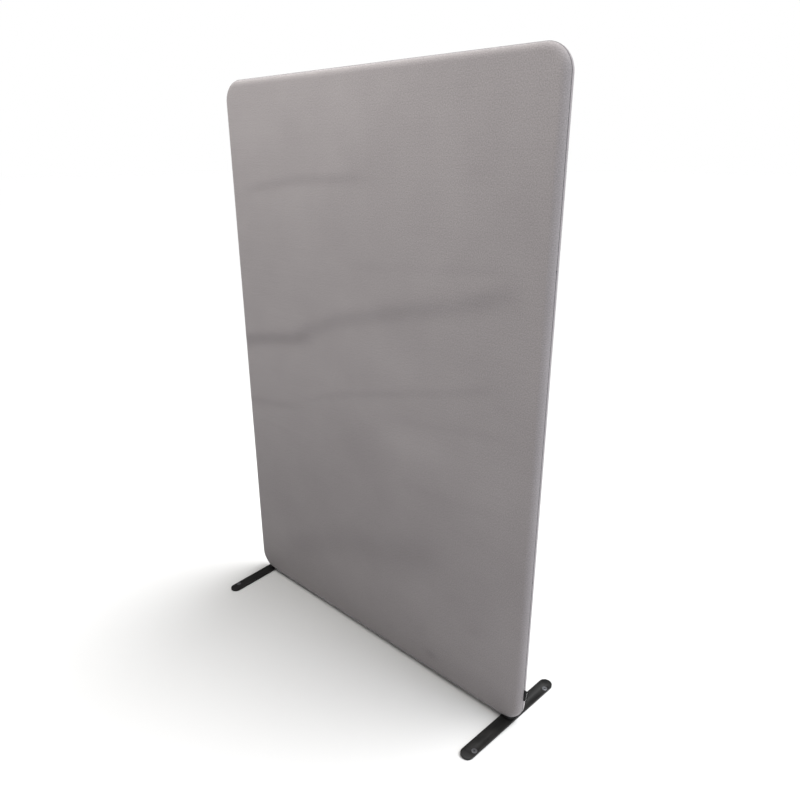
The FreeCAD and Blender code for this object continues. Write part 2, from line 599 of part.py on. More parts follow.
def on_foot(body, side):
    """Puts a foot's piece on its bolt axis, turned by the toe-in."""
    place(body, f"({side} * {FOOT_X})", "0", "0", Rotation(Vector(0, 0, -side), 1))
    body.setExpression("Placement.Rotation.Angle", "size.toe_in")


HEAD_HEIGHT = "((size.bolt_head - size.bolt_diameter) / 2)"
GLIDE_CONE = "((size.glide_head - size.glide_screw) / 2 / 2)"
for side_name, side in (("left", -1), ("right", 1)):
    glide_x = f"({side} * size.glide_offset)"
    screw_level = f"({PLATE_TOP} - size.glide_length)"
    cone_level = f"({PLATE_TOP} - {GLIDE_CONE})"

    plate = new_body(f"foot_plate_{side_name}")
    outline = sketch_on(plate, "outline", "XY_Plane")
    stadium(outline, "size.foot_length", "size.foot_width")
    slab = plate.newObject("PartDesign::Pad", "slab")
    slab.Profile = outline
    bind(slab, Length=PLATE_TOP)
    box(plate, "lift", "(2 * size.foot_width)", "(2 * size.foot_length)", "size.pad_thickness", cut=True,
        x=minus("size.foot_width"), y=minus("size.foot_length"))
    cylinder(plate, "bolt_hole", "(size.bolt_diameter + 2 * size.bolt_clearance)", PLATE_TOP, cut=True)
    primitive(plate, "SubtractiveCone", "countersink", z="size.pad_thickness",
              Radius1=f"(size.bolt_head / 2 + size.bolt_clearance + size.bolt_recess)",
              Radius2="(size.bolt_diameter / 2 + size.bolt_clearance)",
              Height=f"({HEAD_HEIGHT} + size.bolt_recess)")
    for along in (-1, 1):
        reach = f"({along} * size.glide_reach)"
        cylinder(plate, "glide_hole", "size.glide_screw", PLATE_TOP, cut=True, x=glide_x, y=reach)
        primitive(plate, "SubtractiveCone", "glide_seat", x=glide_x, y=reach, z=cone_level,
                  Radius1="(size.glide_screw / 2)", Radius2="(size.glide_head / 2)", Height=GLIDE_CONE)
    on_foot(plate, side)

    screws = []
    for along, end in ((-1, "front"), (1, "rear")):
        reach = f"({along} * size.glide_reach)"
        screw = new_body(f"glide_screw_{side_name}_{end}", kept=False)
        cylinder(screw, "shank", "size.glide_screw", "size.glide_length", x=glide_x, y=reach, z=screw_level)
        primitive(screw, "AdditiveCone", "head", x=glide_x, y=reach, z=cone_level,
                  Radius1="(size.glide_screw / 2)", Radius2="(size.glide_head / 2)", Height=GLIDE_CONE)
        primitive(screw, "SubtractivePrism", "socket", x=glide_x, y=reach, z=cone_level,
                  Circumradius="(size.glide_screw / 2)", Height="size.glide_length")
        on_foot(screw, side)
        screws.append(screw)
    shape_of("Compound", f"glide_screws_{side_name}", Links=screws)

    discs = []
    for index, reach in enumerate(("-1 * size.pad_reach", "-1 * size.pad_inner", "size.pad_inner",
                                   "size.pad_reach")):
        disc = new_body(f"pad_{side_name}_{index + 1}", kept=False)
        cylinder(disc, "disc", "size.pad_diameter", "size.pad_thickness", y=f"({reach})")
        on_foot(disc, side)
        discs.append(disc)
    shape_of("Compound", f"foot_pads_{side_name}", Links=discs)

    # The bolt comes up through the plate and the saddle into the threaded boss.
    bolt = new_body(f"foot_bolt_{side_name}")
    head_level = "(size.pad_thickness + size.bolt_recess)"
    primitive(bolt, "AdditiveCone", "head", z=head_level, Radius1="size.bolt_head / 2",
              Radius2="size.bolt_diameter / 2", Height=HEAD_HEIGHT)
    cylinder(bolt, "shank", "size.bolt_diameter",
             f"({BOSS_FOOT} + size.boss_length * 3 / 4 - {head_level})", z=head_level)
    primitive(bolt, "SubtractivePrism", "socket", z=head_level,
              Circumradius="(size.bolt_socket / sqrt(3))", Height="(size.bolt_socket / 2)")
    place(bolt, f"({side} * {FOOT_X})")

    boss = new_body(f"threaded_boss_{side_name}")
    cylinder(boss, "barrel", "size.boss_diameter", "size.boss_length", z=BOSS_FOOT)
    cylinder(boss, "thread", "size.bolt_diameter", "size.boss_length", cut=True, z=BOSS_FOOT)
    place(boss, f"({side} * {FOOT_X})")

    # The saddle is hollowed to the round of the bend, so the cover isn't crushed.
    saddle = new_body(f"saddle_{side_name}")
    saddle_foot = f"({PLATE_TOP} + size.swivel_gap)"
    cylinder(saddle, "spacer", "size.saddle_diameter", f"({SADDLE_TOP} - {saddle_foot})", z=saddle_foot)
    to_corner = f"({side} * ({CORNER_X} - {FOOT_X}))"
    primitive(saddle, "SubtractiveTorus", "bend", x=to_corner, z=CORNER_Z, turn=ALONG_Y,
              Radius1="size.bend_radius", Radius2=f"({HALF_DEPTH} + size.saddle_gap)")
    straight_start = f"({side} * ({CORNER_X} - {FOOT_X}) - {(1 + side) // 2} * size.elbow_leg)"
    cylinder(saddle, "straight", f"(2 * ({HALF_DEPTH} + size.saddle_gap))", "size.elbow_leg", cut=True,
             x=straight_start, z=RAIL_LOW, turn=ALONG_X)
    cylinder(saddle, "boss_seat", "size.boss_diameter", "size.boss_length", cut=True, z=BOSS_FOOT)
    cylinder(saddle, "bolt_hole", "(size.bolt_diameter + 2 * size.bolt_clearance)", SADDLE_TOP,
             cut=True)
    place(saddle, f"({side} * {FOOT_X})")

# ------------------------------------------------------------- check and write

doc.recompute()
faults = [f"{thing.Name}: {thing.State}" for thing in doc.Objects
          if "Invalid" in thing.State or "Error" in thing.State]
for part in sub_parts:
    if part.Shape.isNull() or not part.Shape.isValid() or not part.Shape.Solids:
        faults.append(f"{part.Label}: no valid solid")
if faults:
    raise RuntimeError("; ".join(faults))

os.makedirs("parts", exist_ok=True)
for part in sub_parts:
    part.Shape.exportStep(f"parts/{part.Label}.step")
    print(f"{part.Label}: {len(part.Shape.Solids)} solid(s), {part.Shape.Volume:.1f} mm3")
print(len(sub_parts), "sub-parts")
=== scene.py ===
import json
import math
import bmesh
import bpy
import numpy
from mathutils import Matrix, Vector


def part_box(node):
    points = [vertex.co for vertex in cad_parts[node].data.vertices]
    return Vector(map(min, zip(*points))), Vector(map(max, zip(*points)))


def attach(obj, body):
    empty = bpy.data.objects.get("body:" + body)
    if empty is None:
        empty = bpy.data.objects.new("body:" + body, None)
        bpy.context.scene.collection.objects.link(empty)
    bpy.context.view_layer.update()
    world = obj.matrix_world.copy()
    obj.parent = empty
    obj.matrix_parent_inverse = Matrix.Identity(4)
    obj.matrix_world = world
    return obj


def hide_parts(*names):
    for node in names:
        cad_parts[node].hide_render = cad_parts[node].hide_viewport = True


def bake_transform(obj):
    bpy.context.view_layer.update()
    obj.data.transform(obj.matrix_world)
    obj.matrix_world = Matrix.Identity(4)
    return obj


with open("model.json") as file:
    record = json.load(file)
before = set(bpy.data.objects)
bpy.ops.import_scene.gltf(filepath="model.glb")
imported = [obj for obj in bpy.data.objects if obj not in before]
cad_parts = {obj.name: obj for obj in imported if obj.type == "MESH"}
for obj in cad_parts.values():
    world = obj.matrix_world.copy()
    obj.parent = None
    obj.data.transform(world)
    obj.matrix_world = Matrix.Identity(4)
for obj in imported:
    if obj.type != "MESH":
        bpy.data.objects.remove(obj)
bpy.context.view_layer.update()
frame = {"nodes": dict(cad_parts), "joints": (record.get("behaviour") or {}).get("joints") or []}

# ---------------------------------------------------------------------------
# Camera: eye height of a standing person, close to the right-hand end of the
# wall and turned to look down along it.
scene = bpy.context.scene
EYE = Vector((1.397, -1.352, 1.578))
TURN = (math.radians(69.9), math.radians(0.12), math.radians(43.05))
SENSOR, LENS = 36, 30.14
view = bpy.data.cameras.new("camera")
view.sensor_width = SENSOR
view.lens = LENS
camera = bpy.data.objects.new("camera", view)
camera.location = EYE
camera.rotation_euler = TURN
scene.collection.objects.link(camera)
scene.camera = camera
scene.view_settings.view_transform = "Standard"


# ---------------------------------------------------------------------------
# Studio: a matt white floor under a white sky. A wide sun stands behind the wall, a
# broad soft lamp over its front, a bluer one past its right-hand end, a strip over its top.
def linear(hex_colour):
    """An sRGB hex colour as the linear colour that a socket holds."""
    levels = [int(hex_colour[start:start + 2], 16) / 255 for start in (1, 3, 5)]
    return [level / 12.92 if level <= 0.04045 else ((level + 0.055) / 1.055) ** 2.4
            for level in levels] + [1.0]


def add(tree, kind, inputs=(), **settings):
    """Adds a node with its own settings; each input is a value, or a socket to link."""
    node = tree.nodes.new(kind)
    for name, value in settings.items():
        setattr(node, name, value)
    for name, value in dict(inputs).items():
        if isinstance(value, bpy.types.NodeSocket):
            tree.links.new(value, node.inputs[name])
        else:
            node.inputs[name].default_value = value
    return node


def start_material(name):
    """An empty node material and its tree."""
    material = bpy.data.materials.new(name)
    material.use_nodes = True
    material.node_tree.nodes.clear()
    return material, material.node_tree


# Painted floor: rolled matt emulsion, slightly uneven in its sheen from roller
# stroke to roller stroke, a third of a metre across.
ROLLER = 3.0
studio_floor, tree = start_material("matt_white_floor_paint")
place = add(tree, "ShaderNodeTexCoord")
roller = add(tree, "ShaderNodeTexNoise",
             {"Vector": place.outputs["Object"], "Scale": ROLLER, "Detail": 2.0})
gloss = add(tree, "ShaderNodeMapRange",
            {"Value": roller.outputs["Fac"], "To Min": 0.85, "To Max": 0.95})
paint = add(tree, "ShaderNodeBsdfPrincipled",
            {"Base Color": linear("#E3E3E3"), "Roughness": gloss.outputs["Result"],
             "Specular IOR Level": 0.1})
add(tree, "ShaderNodeOutputMaterial", {"Surface": paint.outputs["BSDF"]})

FLOOR_REACH = 60.0
floor_mesh = bpy.data.meshes.new("floor")
floor_mesh.from_pydata([(-FLOOR_REACH, -FLOOR_REACH, 0), (FLOOR_REACH, -FLOOR_REACH, 0),
                        (FLOOR_REACH, FLOOR_REACH, 0), (-FLOOR_REACH, FLOOR_REACH, 0)],
                       [], [(0, 1, 2, 3)])
floor_mesh.materials.append(studio_floor)
floor = bpy.data.objects.new("floor", floor_mesh)
scene.collection.objects.link(floor)

# The sky is seen white but lights the wall only a little, as a large dim room would.
SKY_SEEN = 1.0
SKY_LIGHT = 0.14
sky = bpy.data.worlds.new("studio_sky")
sky.use_nodes = True
sky.node_tree.nodes.clear()
tree = sky.node_tree
ray = add(tree, "ShaderNodeLightPath")
strength = add(tree, "ShaderNodeMapRange", {"Value": ray.outputs["Is Camera Ray"],
                                            "To Min": SKY_LIGHT, "To Max": SKY_SEEN})
glow = add(tree, "ShaderNodeBackground",
           {"Color": linear("#FFFFFF"), "Strength": strength.outputs["Result"]})
add(tree, "ShaderNodeOutputWorld", {"Surface": glow.outputs["Background"]})
scene.world = sky


def lamp(name, kind, place, aim, energy, **settings):
    """A lamp at `place` that shines towards `aim`."""
    light = bpy.data.lights.new(name, kind)
    light.energy = energy
    for setting, value in settings.items():
        setattr(light, setting, value)
    fitting = bpy.data.objects.new(name, light)
    fitting.location = place
    fitting.rotation_euler = (Vector(aim) - Vector(place)).to_track_quat("-Z", "Y").to_euler()
    fitting.visible_camera = False
    scene.collection.objects.link(fitting)


SUN_WIDTH = math.radians(53)
lamp("sun_from_behind", "SUN", (1.75, 2.25, 5.5), (0, 0, 0), 4.27, angle=SUN_WIDTH)
lamp("softbox_over_front", "AREA", (-0.45, -0.98, 2.95), (-0.1, 0, 1.2), 33.6,
     shape="RECTANGLE", size=2.0, size_y=0.8, color=(1.0, 0.982, 0.935))
lamp("panel_at_right_end", "AREA", (3.2, 0.20, 1.4), (0.5, 0, 1.2), 27.0,
     shape="RECTANGLE", size=1.2, size_y=1.8, color=(0.83, 0.90, 1.0))
lamp("strip_over_top", "AREA", (0.25, -0.03, 2.36), (0.25, 0, 1.8), 1.9,
     shape="RECTANGLE", size=1.3, size_y=0.10, color=(1.0, 0.99, 0.97))


# ---------------------------------------------------------------------------
# Frame tubes: drawn 6063 aluminium, 38 mm across, bent at the corners and
# anodised in its natural colour. They push over the inner sleeves.
HANDLING = 40.0             # a metre: handling and wear come in patches of 25 mm


def worked_surface(name, colour, worn, metallic, roughness, grain, stretch=(1, 1, 1), depth=0.02):
    """A hard finish: grain is its texture's size in mm, stretched along an axis if brushed."""
    material, tree = start_material(name)
    place = add(tree, "ShaderNodeTexCoord")
    run = add(tree, "ShaderNodeMapping", {"Vector": place.outputs["Object"], "Scale": stretch})
    fine = add(tree, "ShaderNodeTexNoise", {"Vector": run.outputs["Vector"],
                                            "Scale": 1000 / grain, "Detail": 3.0})
    broad = add(tree, "ShaderNodeTexNoise", {"Vector": place.outputs["Object"],
                                             "Scale": HANDLING, "Detail": 4.0})
    marks = add(tree, "ShaderNodeMath", {0: fine.outputs["Fac"], 1: broad.outputs["Fac"]},
                operation="MULTIPLY")
    share = add(tree, "ShaderNodeMapRange",
                {"Value": marks.outputs["Value"], "From Min": 0.18, "From Max": 0.42})
    tint = add(tree, "ShaderNodeMix", {0: share.outputs["Result"], 6: linear(colour),
                                       7: linear(worn)}, data_type="RGBA")
    gloss = add(tree, "ShaderNodeMapRange",
                {"Value": broad.outputs["Fac"], "From Min": 0.3, "From Max": 0.7,
                 "To Min": roughness - 0.06, "To Max": roughness + 0.08})
    relief = add(tree, "ShaderNodeBump", {"Height": fine.outputs["Fac"], "Strength": 0.35,
                                          "Distance": depth / 1000})
    shader = add(tree, "ShaderNodeBsdfPrincipled",
                 {"Base Color": tint.outputs[2], "Metallic": metallic,
                  "Roughness": gloss.outputs["Result"], "Normal": relief.outputs["Normal"]})
    add(tree, "ShaderNodeOutputMaterial", {"Surface": shader.outputs["BSDF"]})
    return material


def give(nodes, material):
    """Puts a material on CAD nodes whose shape is shown as it is."""
    for name in nodes:
        for slot in frame["nodes"][name].material_slots:
            slot.material = material


# Anodising leaves a fine satin, with die lines along the draw.
SIDES = ("left", "right")
anodised = worked_surface("natural_anodised_aluminium", "#B9BBBD", "#A6A8AA", 1.0, 0.34, 1.2,
                          stretch=(1, 1, 0.08))
anodised_rail = worked_surface("natural_anodised_aluminium_rail", "#B9BBBD", "#A6A8AA", 1.0,
                               0.34, 1.2, stretch=(0.08, 1, 1))
give([f"post_{part}_{side}" for part in ("lower", "upper") for side in SIDES], anodised)
give(["bottom_rail", "top_rail"], anodised_rail)
give([f"elbow_{end}_{side}" for end in ("bottom", "top") for side in SIDES], anodised)


# ---------------------------------------------------------------------------
# Joints: ten inner sleeves of mill-finish aluminium, each riveted to one tube
# and locked to the next by a sprung button.
JOINTS = [f"{end}_{side}_{part}" for end in ("bottom", "top") for side in SIDES
          for part in ("post", "rail")] + [f"middle_{side}" for side in SIDES]
# Mill finish is brighter and rougher than anodised metal and shows draw marks.
give([f"sleeve_{joint}" for joint in JOINTS],
     worked_surface("mill_finish_aluminium", "#C9CACB", "#AFB0B1", 1.0, 0.42, 0.9, depth=0.03))
# Dull nickel over steel: smooth, faintly yellow grey.
give([f"snap_button_{joint}" for joint in JOINTS],
     worked_surface("dull_nickel_plated_steel", "#B4B0A8", "#9C978E", 1.0, 0.28, 0.5, depth=0.01))
# Drawn aluminium rivets, bright where the mandrel upset them.
give(["sleeve_rivets"],
     worked_surface("drawn_aluminium_rivet", "#C4C5C6", "#A9AAAB", 1.0, 0.38, 0.5, depth=0.01))
# Bosses of turned steel, zinc plated and clear passivated: pale, slightly blue.
zinc = worked_surface("clear_zinc_plated_steel", "#BFC1C4", "#9A9B9C", 1.0, 0.36, 0.7, depth=0.015)
give([f"threaded_boss_{side}" for side in SIDES], zinc)


# ---------------------------------------------------------------------------
# Leaf springs: one in each sleeve, a strip of blued steel bent double. One leg
# carries the button and gives with it, and the other bears on the sleeve's far wall.
SPRING_SHEET = 0.0005
SPRING_WIDTH = 0.008
SPRING_PARTS = 12                     # straight parts in each leg and in the bend
SPRING_EASE = 0.00003                 # keeps the strip just clear of its button
NEAR_CROSS, NEAR_RUN = 0.03, 0.06     # a button's own leaf lies this near, across and along
# Tempered strip keeps a blue-black heat colour.
blued = worked_surface("blued_spring_steel", "#4A4E57", "#5C5A58", 1.0, 0.33, 0.8, depth=0.01)
press = {joint["child"]: Vector(joint["axis"]) for joint in frame["joints"]}
leaf_corners = numpy.array([corner.co for corner in
                            frame["nodes"]["button_springs"].data.vertices])


def leaf_strip(name, high, low, leg, place):
    """A strip bent double: legs at the levels high and low, `leg` long past the bend.

    `place` turns a point across, along and sideways into one in the frame."""
    middle, radius = (high + low) / 2, (high - low - SPRING_SHEET) / 2
    turns = [math.pi * share / SPRING_PARTS for share in range(SPRING_PARTS + 1)]
    line = [(middle + radius, leg * share / SPRING_PARTS, 0)
            for share in range(SPRING_PARTS, 0, -1)]
    line += [(middle + radius * math.cos(turn), -radius * math.sin(turn), turn) for turn in turns]
    line += [(middle - radius, leg * share / SPRING_PARTS, math.pi)
             for share in range(1, SPRING_PARTS + 1)]
    corners, faces = [], []
    for index, (across, along, turn) in enumerate(line):
        for face, edge in ((-1, -1), (1, -1), (1, 1), (-1, 1)):
            corners.append(place(across + math.cos(turn) * face * SPRING_SHEET / 2,
                                 along - math.sin(turn) * face * SPRING_SHEET / 2,
                                 edge * SPRING_WIDTH / 2))
        if index:
            first = 4 * (index - 1)
            faces += [(first + side, first + (side + 1) % 4, first + 4 + (side + 1) % 4,
                       first + 4 + side) for side in range(4)]
    faces += [(0, 1, 2, 3), tuple(len(corners) - back for back in (1, 2, 3, 4))]
    mesh = bpy.data.meshes.new(name)
    mesh.from_pydata(corners, [], faces)
    shape = bmesh.new()
    shape.from_mesh(mesh)
    bmesh.ops.recalc_face_normals(shape, faces=shape.faces)
    shape.to_mesh(mesh)
    shape.free()
    piece = bpy.data.objects.new(name, mesh)
    scene.collection.objects.link(piece)
    return piece


for joint in JOINTS:
    button_low, button_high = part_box(f"snap_button_{joint}")
    button = (button_low + button_high) / 2
    out = -press[f"button_{joint}"]
    run = Vector((1, 0, 0)) if joint.endswith("rail") else Vector((0, 0, 1))
    from_button = leaf_corners - numpy.array(button)
    across, along = from_button @ numpy.array(out), from_button @ numpy.array(run)
    own = (abs(across) < NEAR_CROSS) & (abs(along) < NEAR_RUN)
    if -along[own].min() < along[own].max():
        run, along = -run, -along
    high, low = across[own].max() - SPRING_EASE, across[own].min()
    rise = high - low
    bend = along[own].min() + rise / 2
    leg = along[own].max() - bend
    piece = leaf_strip(f"leaf_spring_{joint}", high, low, leg,
                       lambda up, on, aside: button + out * up + run * (bend + on)
                       + Vector((0, aside, 0)))
    piece.data.materials.append(blued)
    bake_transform(piece)
    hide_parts("button_springs")


# ---------------------------------------------------------------------------
# Cover: a pillowcase of grey stretch polyester knit, 0.8 mm thick, pulled tight
# over the frame. Front and back are each one sheet, and both wrap round the tube
# to a seam that runs just forward of the middle of the edge.
front_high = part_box("cover_front")[1]
back_low, back_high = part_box("cover_back")
CLOTH = 0.0008
HALF_DEPTH = back_high.y
POST_X = back_high.x - HALF_DEPTH
RAIL_LOW = back_low.z + HALF_DEPTH
RAIL_HIGH = back_high.z - HALF_DEPTH
BEND = 0.045                # radius of the tube's middle line at a corner
SEAM_Y = front_high.y
SEAM_GAP = 0.00002          # left between each sheet and the join
SEAM_DIP = 0.00068          # how deep an edge rolls in at the seam, and over what length
SEAM_ROLL = 0.0013
SEAM_ROLL_SHARES = (0.66, 0.36, 0.14, 0.03, 0)
CORNER_X = POST_X - BEND
CORNER_LOW = RAIL_LOW + BEND
CORNER_HIGH = RAIL_HIGH - BEND
CELL = 0.0085               # the flat middle's grid, and the rings round it
BEND_RING = 0.009
TUBE_RING = 0.0031
CORNER_STEP = 9             # degrees between stations round a corner
bolt_low, bolt_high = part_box("foot_bolt_right")
BOLT_X = (bolt_low.x + bolt_high.x) / 2
BOLT_HOLE = 0.0085
ZIP_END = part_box("zip_stops")[1].x
ZIP_Z = (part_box("zip_tape_upper")[0].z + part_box("zip_tape_lower")[1].z) / 2
ZIP_SLOT = 0.006            # half the gap that shows the chain
ZIP_LEVEL = 0.15            # how far above the zip the cloth comes level with it

# Folds left by storage. Each is a line across the wall as (x, z) points, its half
# width, how far the cloth stands up along it, and how much shade is painted along it.
FOLDS = [
    ([(-0.30, 1.035), (-0.20, 1.065), (-0.126, 1.098), (-0.018, 1.125),
      (0.18, 1.175), (0.36, 1.215), (0.50, 1.255)], 0.024, 0.0016, 0.29),
    ([(-0.64, 0.948), (-0.468, 0.984), (-0.26, 1.02)], 0.019, 0.0012, 0.50),
    ([(-0.64, 0.722), (-0.45, 0.747), (-0.34, 0.765)], 0.012, 0.0007, 0.24),
    ([(-0.27, 0.808), (-0.126, 0.860), (0.072, 0.909), (0.288, 0.963), (0.48, 1.015)],
     0.011, 0.0006, 0.16),
    ([(-0.52, 1.475), (-0.288, 1.508), (0.02, 1.519)], 0.014, 0.0007, 0.20),
    ([(0.10, 0.838), (0.30, 0.866), (0.50, 0.888)], 0.011, 0.0004, 0.10),
    ([(0.16, 0.645), (0.50, 0.660)], 0.011, 0.0003, 0.08),
    ([(-0.42, 0.17), (-0.126, 0.324), (0.28, 0.415)], 0.050, 0.0017, 0.22),
    ([(-0.04, 1.275), (0.24, 1.296), (0.50, 1.314)], 0.011, 0.0003, 0.08),
]
# Patches painted darker or paler: x, z, half width, half height, shade. The two broad
# ones low on the wall are painted shade that darkens its lower part.
PATCHES = [
    (-0.04, 0.70, 0.11, 0.075, 0.20), (0.21, 0.78, 0.11, 0.035, -0.16),
    (0.13, 1.015, 0.08, 0.03, -0.14), (0.39, 1.54, 0.025, 0.02, 0.12),
    (0.38, 1.61, 0.02, 0.012, 0.10), (0.282, 0.073, 0.016, 0.010, 0.35),
    (0.44, 0.25, 0.02, 0.012, 0.14), (-0.46, 0.42, 0.20, 0.16, 0.14),
    (0.18, 0.47, 0.50, 0.15, 0.22),
]
FOLD_FADE = 0.10            # length over which a fold dies away at its ends
FOLD_CREST = 1.65           # brings a fold's crest to its full rise
FOLD_SHADE_SPREAD = 1.1           # the painted shade is this much narrower than its fold
RIPPLE, RIPPLE_TURN = 0.0004, 61             # upright pull lines, strongest at the top
RIPPLE_FROM, RIPPLE_FADE = 1.3, 0.4
SWELL = 0.0008                               # broad slack between the folds
HOLLOW, HOLLOW_REACH = 0.0016, 0.026         # the cloth sinks a little between the tubes
BACK_RELIEF, BACK_PAINTED_SHADE = 0.5, 0.4            # the back is smoother and has less painted shade
HELD_FROM = 0.4             # share of the bend's radius where the tube starts to hold it
TUBE_RELIEF = 0.4           # share of a fold that still shows over the tube


def bell(distance):
    """A smooth bump, 1 in the middle and near 0 three widths out."""
    return numpy.exp(-0.5 * distance ** 2)


def cloth_relief(x, z):
    """How far the cloth stands up, and how much shade is painted on it, at flat places x, z."""
    height = RIPPLE * numpy.sin(x * RIPPLE_TURN + 0.7 * numpy.sin(z * 9))
    height *= numpy.clip((z - RIPPLE_FROM) / RIPPLE_FADE, 0, 1)
    height += SWELL * numpy.sin(x * 5.1 + z * 7.3) * numpy.sin(x * 2.3 - z * 4.7 + 1.0)
    shade = numpy.zeros_like(x)
    for points, half_width, rise, dark in FOLDS:
        line_x, line_z = numpy.array(points).T
        ends = numpy.clip(numpy.minimum(x - line_x[0], line_x[-1] - x) / FOLD_FADE + 0.5, 0, 1)
        if line_x[0] < -POST_X:
            ends = numpy.clip((line_x[-1] - x) / FOLD_FADE + 0.5, 0, 1)
        across = (z - numpy.interp(x, line_x, line_z)) / half_width
        height += rise * across * bell(across) * FOLD_CREST * ends
        shade += dark * bell(across * FOLD_SHADE_SPREAD) * ends
    for patch_x, patch_z, half_x, half_z, dark in PATCHES:
        shade += dark * bell((x - patch_x) / half_x) * bell((z - patch_z) / half_z)
    return height, shade


def steps(start, end, step, *fixed):
    """Even steps from start to end that also land on the fixed places between them."""
    stops = sorted({start, end, *fixed})
    places = [start]
    for low, high in zip(stops, stops[1:]):
        count = max(1, round((high - low) / step))
        places += [low + (high - low) * index / count for index in range(1, count + 1)]
    return places


def cover_sheet(name, side, columns, rows, is_cut):
    """One sheet of the cover, side -1 for the front and 1 for the back, out to its seam.

    Its flat middle is a grid; from there rings go out over the tube, and every place
    keeps its flat position on the cut cloth as its UV."""
    wrap = math.acos(side * SEAM_Y / HALF_DEPTH) * HALF_DEPTH - SEAM_GAP
    reaches = steps(0, BEND, BEND_RING)[1:]
    reaches += [BEND + out for out in steps(0, wrap - SEAM_ROLL, TUBE_RING)[1:]]
    reaches += [BEND + wrap - SEAM_ROLL * share for share in SEAM_ROLL_SHARES]
    across, up = len(columns), len(rows)
    base = [(x, z) for x in columns for z in rows]
    # stations round the grid's border: its index there, and the direction outwards
    quarter = [math.radians(turn) for turn in range(CORNER_STEP, 90, CORNER_STEP)]
    stations = [(i * up, -math.pi / 2) for i in range(across)]
    stations += [((across - 1) * up, turn - math.pi / 2) for turn in quarter]
    stations += [((across - 1) * up + j, 0.0) for j in range(up)]
    stations += [(across * up - 1, turn) for turn in quarter]
    stations += [(i * up + up - 1, math.pi / 2) for i in reversed(range(across))]
    stations += [(up - 1, math.pi / 2 + turn) for turn in quarter]
    stations += [(j, math.pi) for j in reversed(range(up))]
    stations += [(0, math.pi + turn) for turn in quarter]
    count = len(stations)
    flat = list(base)
    reach_of = [0.0] * len(base)
    outward = [(0.0, 0.0)] * len(base)
    for reach in reaches:
        for index, turn in stations:
            away = (math.cos(turn), math.sin(turn))
            flat.append((base[index][0] + away[0] * reach, base[index][1] + away[1] * reach))
            reach_of.append(reach)
            outward.append(away)
    flat, outward, reach_of = (numpy.array(flat), numpy.array(outward), numpy.array(reach_of))
    height, shade = cloth_relief(flat[:, 0], flat[:, 1])
    if side > 0:
        # the sewn tapes keep the cloth level round the zip
        level_share = numpy.clip((flat[:, 1] - ZIP_Z - 2 * ZIP_SLOT) / ZIP_LEVEL, 0, 1)
        height, shade = height * BACK_RELIEF * level_share, shade * BACK_PAINTED_SHADE
    past = numpy.maximum(reach_of - BEND, 0)
    held = numpy.clip((reach_of - BEND * HELD_FROM) / BEND, 0, 1)
    inside = numpy.minimum.reduce([POST_X - abs(flat[:, 0]), flat[:, 1] - RAIL_LOW,
                                   RAIL_HIGH - flat[:, 1]])
    hollow = HOLLOW * (1 - numpy.exp(-numpy.maximum(inside, 0) / HOLLOW_REACH))
    if side > 0:
        hollow *= level_share
    rolled = numpy.clip((reach_of - (BEND + wrap - SEAM_ROLL)) / SEAM_ROLL, 0, 1)
    dip = SEAM_DIP * (1 - numpy.sqrt(1 - rolled ** 2))
    to_seam = 1 - past / wrap
    lift = height * (1 - held) + numpy.maximum(height, 0) * TUBE_RELIEF * held * to_seam
    radius = HALF_DEPTH + lift - hollow - dip
    angle = past / HALF_DEPTH
    level = flat - outward * past[:, None] + outward * (radius * numpy.sin(angle))[:, None]
    depth = side * radius * numpy.cos(angle)
    places = numpy.column_stack([level[:, 0], depth, level[:, 1]])
    faces = []
    for i in range(across - 1):
        for j in range(up - 1):
            faces.append((i * up + j, (i + 1) * up + j, (i + 1) * up + j + 1, i * up + j + 1))
    for ring in range(len(reaches)):
        inner, outer = len(base) + (ring - 1) * count, len(base) + ring * count
        for here in range(count):
            after = (here + 1) % count
            first, second = ((stations[here][0], stations[after][0]) if ring == 0
                             else (inner + here, inner + after))
            face = (first, outer + here, outer + after, second)
            faces.append(face if first != second else face[:3])
    kept = [face for face in faces if not is_cut(places[list(face)].mean(axis=0))]
    if side > 0:
        kept = [face[::-1] for face in kept]
    mesh = bpy.data.meshes.new(name)
    mesh.from_pydata(places.tolist(), [], kept)
    cut = mesh.uv_layers.new(name="cut")
    corners = numpy.empty(len(mesh.loops), dtype=numpy.int32)
    mesh.loops.foreach_get("vertex_index", corners)
    cut.data.foreach_set("uv", flat[corners].astype(numpy.float32).ravel())
    # painted shade along the folds and in the patches, which the knit's colour is darkened by
    painted_shade_and_patches = mesh.attributes.new("painted_shade_and_patches", "FLOAT", "POINT")
    painted_shade_and_patches.data.foreach_set("value", shade.astype(numpy.float32))
    shape = bmesh.new()
    shape.from_mesh(mesh)
    thinned = shape.verts.layers.deform.verify()
    for vertex in shape.verts:
        vertex[thinned][0] = 1 - dip[vertex.index] / CLOTH
    bmesh.ops.delete(shape, geom=[v for v in shape.verts if not v.link_faces], context="VERTS")
    shape.to_mesh(mesh)
    shape.free()
    mesh.shade_smooth()
    piece = bpy.data.objects.new(name, mesh)
    scene.collection.objects.link(piece)
    thickness = piece.modifiers.new("cloth_thickness", "SOLIDIFY")
    thickness.thickness = CLOTH
    thickness.offset = -1
    thickness.vertex_group = piece.vertex_groups.new(name="thickness_left_at_seam").name
    return piece, (2 * (POST_X + wrap), RAIL_HIGH - RAIL_LOW + 2 * wrap)
